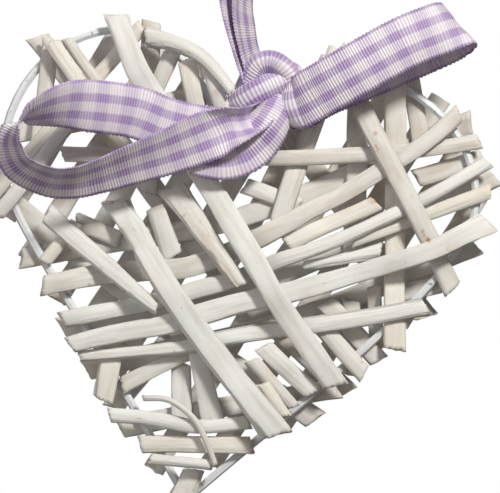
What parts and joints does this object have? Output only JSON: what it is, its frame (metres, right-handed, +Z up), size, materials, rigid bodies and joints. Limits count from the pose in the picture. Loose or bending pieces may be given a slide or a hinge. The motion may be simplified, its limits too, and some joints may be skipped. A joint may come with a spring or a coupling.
{
  "type": "wicker heart",
  "caption": "Hanging heart of criss-cross white-washed willow splits on a wire outline, with a lilac gingham ribbon bow tied at the cleft and rising into a hanging loop.",
  "frame": {"origin": "under the top of the ribbon's hanging loop, where a nail or hook bears on it; the heart hangs straight below", "axes": "+Z up, -Y out of the heart's front face, +X to the right as the front is seen; the heart lies in the XZ plane"},
  "size_m": [0.1611, 0.0488, 0.2203],
  "materials": {
    "painted_wire": "satin",
    "whitewashed_willow": "matt",
    "ribbon": "woven, soft sheen"
  },
  "bodies": {
    "root": {"heart_wire": "painted_wire", "front_split_01": "whitewashed_willow", "front_split_02": "whitewashed_willow", "front_split_03": "whitewashed_willow", "front_split_04": "whitewashed_willow", "front_split_05": "whitewashed_willow", "front_split_06": "whitewashed_willow", "front_split_07": "whitewashed_willow", "front_split_08": "whitewashed_willow", "front_split_09": "whitewashed_willow", "front_split_10": "whitewashed_willow", "front_split_11": "whitewashed_willow", "front_split_12": "whitewashed_willow", "front_split_13": "whitewashed_willow", "front_split_14": "whitewashed_willow", "front_split_15": "whitewashed_willow", "front_split_16": "whitewashed_willow", "front_split_17": "whitewashed_willow", "front_split_18": "whitewashed_willow", "front_split_19": "whitewashed_willow", "front_split_20": "whitewashed_willow", "front_split_21": "whitewashed_willow", "front_split_22": "whitewashed_willow", "front_split_23": "whitewashed_willow", "front_split_24": "whitewashed_willow", "front_split_25": "whitewashed_willow", "front_split_26": "whitewashed_willow", "front_split_27": "whitewashed_willow", "front_split_28": "whitewashed_willow", "front_split_29": "whitewashed_willow", "front_split_30": "whitewashed_willow", "front_split_31": "whitewashed_willow", "front_split_32": "whitewashed_willow", "front_split_33": "whitewashed_willow", "front_split_34": "whitewashed_willow", "front_split_35": "whitewashed_willow", "front_split_36": "whitewashed_willow", "front_split_37": "whitewashed_willow", "front_split_38": "whitewashed_willow", "front_split_39": "whitewashed_willow", "front_split_40": "whitewashed_willow", "bark_strip": "whitewashed_willow", "back_split_01": "whitewashed_willow", "back_split_02": "whitewashed_willow", "back_split_03": "whitewashed_willow", "back_split_04": "whitewashed_willow", "back_split_05": "whitewashed_willow", "back_split_06": "whitewashed_willow", "back_split_07": "whitewashed_willow", "back_split_08": "whitewashed_willow", "back_split_09": "whitewashed_willow", "back_split_10": "whitewashed_willow", "back_split_11": "whitewashed_willow", "back_split_12": "whitewashed_willow", "back_split_13": "whitewashed_willow", "back_split_14": "whitewashed_willow", "back_split_15": "whitewashed_willow", "back_split_16": "whitewashed_willow", "back_split_17": "whitewashed_willow", "gingham_ribbon": "ribbon"}
  },
  "joints": []
}
